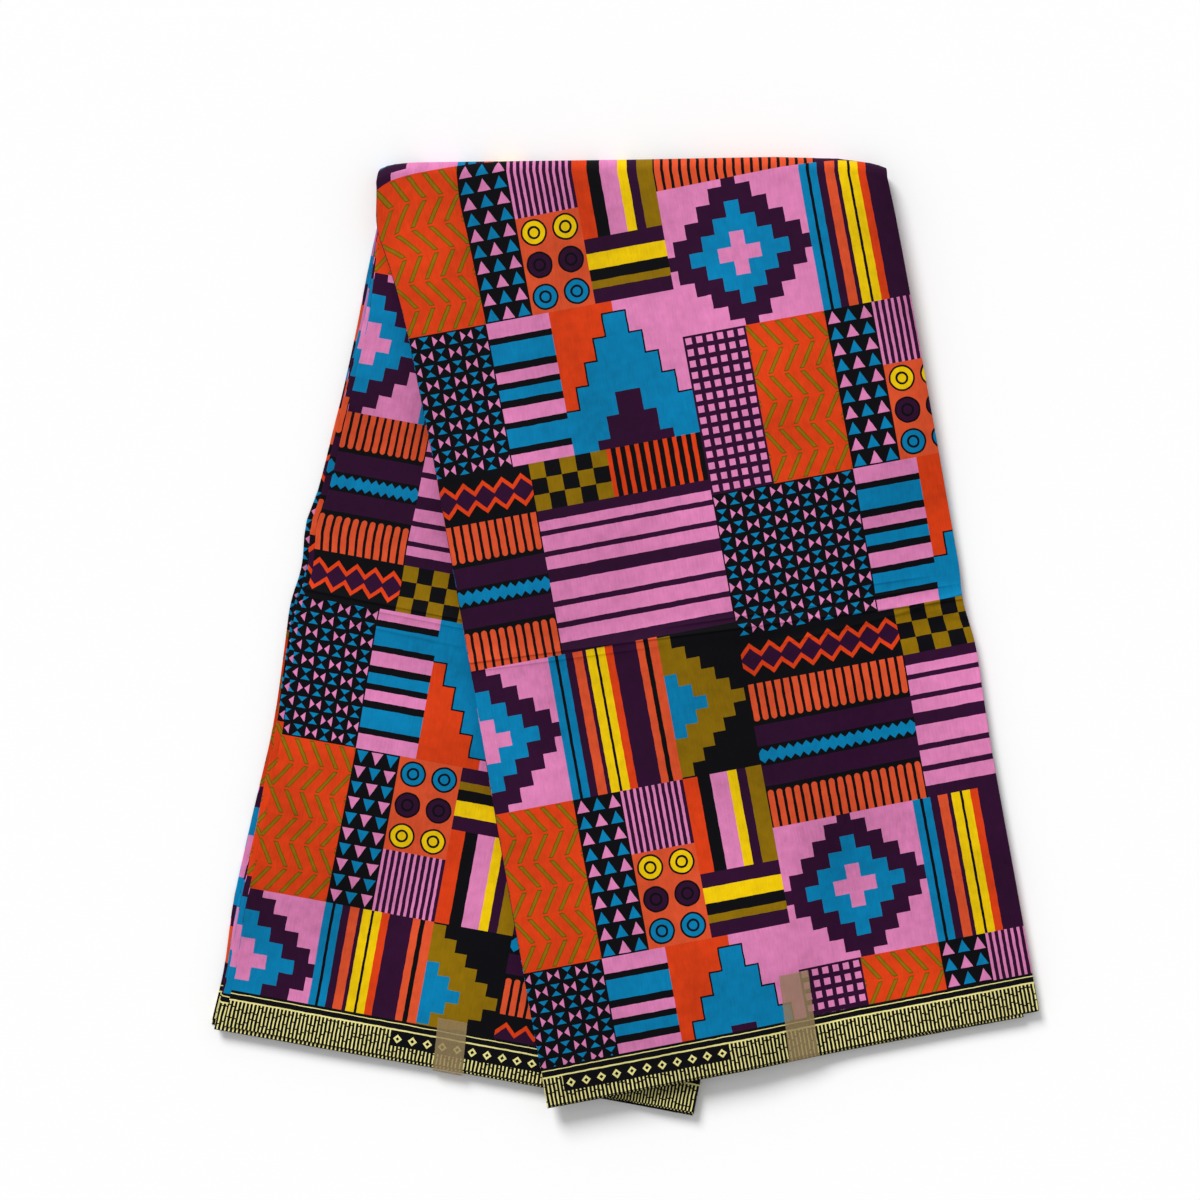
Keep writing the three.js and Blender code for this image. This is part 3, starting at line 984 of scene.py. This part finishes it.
# ---- Tapes over the selvedges ----

TAPE_WIDTH = 19
TAPE_THICKNESS = 0.12
TAPE_OVER = 0.35  # height of a tape over the leaf it lies on
TAPE_BEND = 1.2
FRONT_TAPE = {
    "leg": 1, "left": -0.3, "down": 519.5, "lean": -0.055, "end": FRONT_LENGTH + 1.9,
    "over": BEND_HIGH, "foot": BEND_LOW + 1.4,
}
BACK_TAPE = {
    "leg": -1, "left": -24.6, "down": 552, "lean": 0.08, "end": BACK_LENGTH + 3.8,
    "over": -BEND_LOW, "foot": -BEND_HIGH + 1,
}


def tape_material():
    """Tan packing tape, a little see-through, with faint streaks along it."""
    material = bpy.data.materials.new("tape_film")
    material.use_nodes = True
    tree = material.node_tree
    shader = tree.nodes["Principled BSDF"]
    uv = tree.nodes.new("ShaderNodeUVMap")
    uv.uv_map = "fabric"
    mapping = tree.nodes.new("ShaderNodeMapping")
    mapping.inputs["Scale"].default_value = (9, 1, 1)
    tree.links.new(uv.outputs[0], mapping.inputs["Vector"])
    noise = tree.nodes.new("ShaderNodeTexNoise")
    noise.inputs["Scale"].default_value = 130
    noise.inputs["Detail"].default_value = 4
    tree.links.new(mapping.outputs[0], noise.inputs["Vector"])
    ramp = tree.nodes.new("ShaderNodeValToRGB")
    ramp.color_ramp.elements[0].position = 0.3
    ramp.color_ramp.elements[0].color = (0.35, 0.248, 0.112, 1)
    ramp.color_ramp.elements[1].position = 0.75
    ramp.color_ramp.elements[1].color = (0.44, 0.315, 0.15, 1)
    tree.links.new(noise.outputs["Fac"], ramp.inputs[0])
    tree.links.new(ramp.outputs[0], shader.inputs["Base Color"])
    shader.inputs["Roughness"].default_value = 0.32
    shader.inputs["Alpha"].default_value = 0.36
    bump = tree.nodes.new("ShaderNodeBump")
    bump.inputs["Strength"].default_value = 0.2
    bump.inputs["Distance"].default_value = 0.0002
    tree.links.new(noise.outputs["Fac"], bump.inputs["Height"])
    tree.links.new(bump.outputs[0], shader.inputs["Normal"])
    return material


def tape_path(tape):
    """The side view of a tape's lower face: how far down its leg and how far above the middle plane it runs,
    and which way it faces. It lies on the leg, bends over its end and hangs down along the leaves' ends."""
    end, top, foot = tape["end"], tape["over"] + TAPE_OVER, tape["foot"]
    last = end - TAPE_BEND
    low = top - TAPE_BEND
    turns = np.linspace(0, math.pi / 2, 6)
    lying = [(tape["down"] + (last - tape["down"]) * i / 12, top, 0) for i in range(12)]
    corner = [(last + TAPE_BEND * math.sin(a), low + TAPE_BEND * math.cos(a), a) for a in turns]
    hanging = [(end, low + (foot - low) * i / 4, math.pi / 2) for i in range(1, 5)]
    return lying + corner + hanging


def make_tape(node, tape, material):
    path = tape_path(tape)
    across = tape["left"] + np.linspace(0, TAPE_WIDTH, 9)

    def face(out):
        down = np.array([d + out * math.sin(a) for d, _, a in path])[:, None]
        high = np.array([h + out * math.cos(a) for _, h, a in path])[:, None]
        radius = tape["leg"] * high + 0 * across
        up = down if tape["leg"] > 0 else -down - math.pi * np.maximum(radius, BEND_LOW / 2) / COS
        return bend(across + tape["lean"] * (down - tape["down"]), up + 0 * across, radius)

    low, high = face(0), face(TAPE_THICKNESS)
    run = (across - across[0]).tolist()
    along = np.array([d + (a > 0) * (path[0][1] - h) for d, h, a in path])
    cloth = Cloth([material], no_print)
    cloth.strip(run, along, high, 1)
    cloth.strip(run, along, low, -1)
    cloth.rims(run, along, high, low, 1)
    cloth.cut(run[0], along, high[:, 0], low[:, 0], -1)
    cloth.cut(run[-1], along, high[:, -1], low[:, -1], 1)
    piece = cloth.make(node + "_film")
    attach(piece, "root")
    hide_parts(node)
    return piece


def make_tapes():
    material = tape_material()
    make_tape("tape_front", FRONT_TAPE, material)
    make_tape("tape_back", BACK_TAPE, material)


make_tapes()

# ---- The floor and the light ----

# In metres
FLOOR_SIZE = 60
FLOOR_LEVEL = -0.0003  # just under the cloth
LAMP_PLACE = (-1.15, 2.1, 1.8)


def make_floor():
    mesh = bpy.data.meshes.new("floor")
    far = FLOOR_SIZE / 2
    mesh.from_pydata([(-far, -far, 0), (far, -far, 0), (far, far, 0), (-far, far, 0)], [], [(0, 1, 2, 3)])
    floor = bpy.data.objects.new("floor", mesh)
    floor.location.z = FLOOR_LEVEL
    bpy.context.scene.collection.objects.link(floor)
    material = bpy.data.materials.new("floor")
    material.use_nodes = True
    shader = material.node_tree.nodes["Principled BSDF"]
    shader.inputs["Base Color"].default_value = (0.97, 0.97, 0.97, 1)
    shader.inputs["Roughness"].default_value = 0.9
    shader.inputs["Specular IOR Level"].default_value = 0.1
    mesh.materials.append(material)


def make_lamp():
    """A soft, even light from the upper left."""
    data = bpy.data.lights.new("key", "SUN")
    data.angle = math.radians(24)
    data.energy = 2.75
    lamp = bpy.data.objects.new("key", data)
    lamp.location = LAMP_PLACE
    lamp.rotation_euler = (-lamp.location).to_track_quat("-Z", "Y").to_euler()
    bpy.context.scene.collection.objects.link(lamp)


def make_world():
    world = bpy.data.worlds.new("studio")
    world.use_nodes = True
    background = world.node_tree.nodes["Background"]
    background.inputs["Color"].default_value = (1, 1, 1, 1)
    background.inputs["Strength"].default_value = 0.5
    bpy.context.scene.world = world
    bpy.context.scene.view_settings.view_transform = "Standard"


make_floor()
make_lamp()
make_world()
